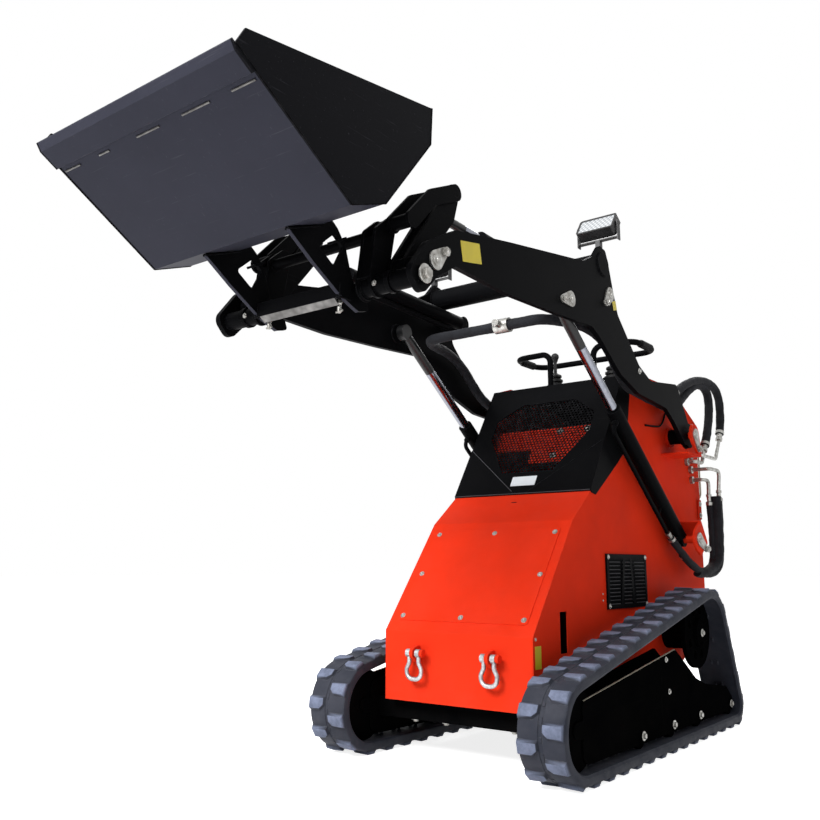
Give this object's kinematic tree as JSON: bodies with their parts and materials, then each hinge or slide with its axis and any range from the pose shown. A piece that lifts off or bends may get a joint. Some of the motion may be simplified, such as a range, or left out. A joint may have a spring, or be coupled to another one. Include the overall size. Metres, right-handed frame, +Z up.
{
  "type": "compact track loader",
  "caption": "Stand-on compact track loader with raised twin lift arms, linkage-tilted bucket, rubber tracks and a fold-up rider platform.",
  "frame": {"origin": "on the ground at the middle of the overall width and length", "axes": "+X to the machine's left, +Y to its rear, +Z up"},
  "size_m": [1.06, 3.3892, 2.0838],
  "materials": {
    "red_paint": "gloss",
    "black_paint": "semi-gloss",
    "bucket_paint": "satin",
    "track_rubber": "matt",
    "zinc": "satin",
    "chrome_rod": "polished",
    "lamp_body": "satin",
    "handle_black": "matt",
    "hose_sleeve": "matt",
    "pad_vinyl": "satin",
    "lamp_lens": "gloss",
    "engine_iron": "matt"
  },
  "bodies": {
    "chassis": {"track_left": "track_rubber", "track_right": "track_rubber", "track_wheels_left": "black_paint", "track_wheels_right": "black_paint", "sprocket_left": "black_paint", "sprocket_right": "black_paint", "track_frame_left": "black_paint", "track_frame_right": "black_paint", "side_panel_left": "red_paint", "side_panel_right": "red_paint", "pivot_brackets_left": "red_paint", "pivot_brackets_right": "red_paint", "loop_hoses_left": "hose_sleeve", "loop_hoses_right": "hose_sleeve", "lift_hoses_left": "hose_sleeve", "lift_hoses_right": "hose_sleeve", "nose_panel": "red_paint", "nose_cover": "red_paint", "engine_cowl": "black_paint", "cowl_mesh": "black_paint", "shroud_panel": "red_paint", "louvres": "black_paint", "rear_panel": "red_paint", "rear_pad": "pad_vinyl", "belly_frame": "black_paint", "control_deck": "black_paint", "handlebar": "handle_black", "joysticks": "handle_black", "engine_block": "engine_iron", "tow_lugs": "red_paint", "shackles": "zinc", "body_hardware": "zinc"},
    "arms": {"arm_left": "black_paint", "arm_right": "black_paint", "arm_tubes": "black_paint", "work_lamp_left": "lamp_body", "work_lamp_right": "lamp_body", "lamp_lenses": "lamp_lens", "arm_hardware": "zinc", "arm_hoses": "hose_sleeve"},
    "bucket": {"mount_frame": "black_paint", "bucket_shell": "bucket_paint", "cutting_edge": "bucket_paint", "bucket_ribs": "bucket_paint"},
    "platform": {"platform": "black_paint"},
    "lift_tube_left": {"lift_tube_left": "black_paint"},
    "lift_rod_left": {"lift_rod_left": "chrome_rod"},
    "tilt_tube_left": {"tilt_tube_left": "black_paint"},
    "tilt_rod_left": {"tilt_rod_left": "chrome_rod"},
    "rocker_left": {"rocker_left": "black_paint"},
    "link_left": {"link_left": "black_paint"},
    "lift_tube_right": {"lift_tube_right": "black_paint"},
    "lift_rod_right": {"lift_rod_right": "chrome_rod"},
    "tilt_tube_right": {"tilt_tube_right": "black_paint"},
    "tilt_rod_right": {"tilt_rod_right": "chrome_rod"},
    "rocker_right": {"rocker_right": "black_paint"},
    "link_right": {"link_right": "black_paint"}
  },
  "joints": [
    {"name": "lift", "type": "hinge", "parent": "chassis", "child": "arms", "pos_m": [0, 1.1007, 1.29], "axis": [-1, 0, 0], "range_deg": [-38, 14], "deforming": ["loop_hoses_left", "loop_hoses_right"]},
    {"name": "bucket_tilt", "type": "hinge", "parent": "arms", "child": "bucket", "pos_m": [0, -0.9693, 1.513], "axis": [1, 0, 0], "range_deg": [-20, 70]},
    {"name": "platform_fold", "type": "hinge", "parent": "chassis", "child": "platform", "pos_m": [0, 1.5087, 0.33], "axis": [-1, 0, 0], "range_deg": [0, 85]},
    {"name": "lift_tube_swing_left", "type": "hinge", "parent": "chassis", "child": "lift_tube_left", "pos_m": [0, 1.0757, 0.812], "axis": [-1, 0, 0], "range_deg": [-33.55, 12.99], "deforming": ["lift_hoses_left"]},
    {"name": "lift_rod_slide_left", "type": "slide", "parent": "lift_tube_left", "child": "lift_rod_left", "axis": [0, -0.7986, 0.6018], "range_m": [-0.29, 0.1094]},
    {"name": "tilt_tube_swing_left", "type": "hinge", "parent": "arms", "child": "tilt_tube_left", "pos_m": [0, 0.2857, 1.767], "axis": [1, 0, 0], "range_deg": [-5, 2.14]},
    {"name": "tilt_rod_slide_left", "type": "slide", "parent": "tilt_tube_left", "child": "tilt_rod_left", "axis": [0, -0.9995, 0.0332], "range_m": [-0.0833, 0.2817]},
    {"name": "rocker_swing_left", "type": "hinge", "parent": "arms", "child": "rocker_left", "pos_m": [0, -0.9073, 1.572], "axis": [1, 0, 0], "range_deg": [-18.51, 62.27]},
    {"name": "link_swing_left", "type": "hinge", "parent": "rocker_left", "child": "link_left", "pos_m": [0, -0.6833, 1.882], "axis": [1, 0, 0], "range_deg": [-23.69, 7.48]},
    {"name": "lift_tube_swing_right", "type": "hinge", "parent": "chassis", "child": "lift_tube_right", "pos_m": [0, 1.0757, 0.812], "axis": [-1, 0, 0], "range_deg": [-33.55, 12.99], "deforming": ["lift_hoses_right"]},
    {"name": "lift_rod_slide_right", "type": "slide", "parent": "lift_tube_right", "child": "lift_rod_right", "axis": [0, -0.7986, 0.6018], "range_m": [-0.29, 0.1094]},
    {"name": "tilt_tube_swing_right", "type": "hinge", "parent": "arms", "child": "tilt_tube_right", "pos_m": [0, 0.2857, 1.767], "axis": [1, 0, 0], "range_deg": [-5, 2.14]},
    {"name": "tilt_rod_slide_right", "type": "slide", "parent": "tilt_tube_right", "child": "tilt_rod_right", "axis": [0, -0.9995, 0.0332], "range_m": [-0.0833, 0.2817]},
    {"name": "rocker_swing_right", "type": "hinge", "parent": "arms", "child": "rocker_right", "pos_m": [0, -0.9073, 1.572], "axis": [1, 0, 0], "range_deg": [-18.51, 62.27]},
    {"name": "link_swing_right", "type": "hinge", "parent": "rocker_right", "child": "link_right", "pos_m": [0, -0.6833, 1.882], "axis": [1, 0, 0], "range_deg": [-23.69, 7.48]}
  ],
  "couplings": [
    {"joint": "lift_tube_swing_left", "follows": "lift", "ratio": 0.8567},
    {"joint": "lift_rod_slide_left", "follows": "lift", "m_per_rad": 0.4312},
    {"joint": "tilt_tube_swing_left", "follows": "bucket_tilt", "ratio": -0.0572},
    {"joint": "tilt_rod_slide_left", "follows": "bucket_tilt", "m_per_rad": 0.2273},
    {"joint": "rocker_swing_left", "follows": "bucket_tilt", "ratio": 0.8753},
    {"joint": "link_swing_left", "follows": "bucket_tilt", "ratio": -0.3242},
    {"joint": "lift_tube_swing_right", "follows": "lift", "ratio": 0.8567},
    {"joint": "lift_rod_slide_right", "follows": "lift", "m_per_rad": 0.4312},
    {"joint": "tilt_tube_swing_right", "follows": "bucket_tilt", "ratio": -0.0572},
    {"joint": "tilt_rod_slide_right", "follows": "bucket_tilt", "m_per_rad": 0.2273},
    {"joint": "rocker_swing_right", "follows": "bucket_tilt", "ratio": 0.8753},
    {"joint": "link_swing_right", "follows": "bucket_tilt", "ratio": -0.3242}
  ]
}
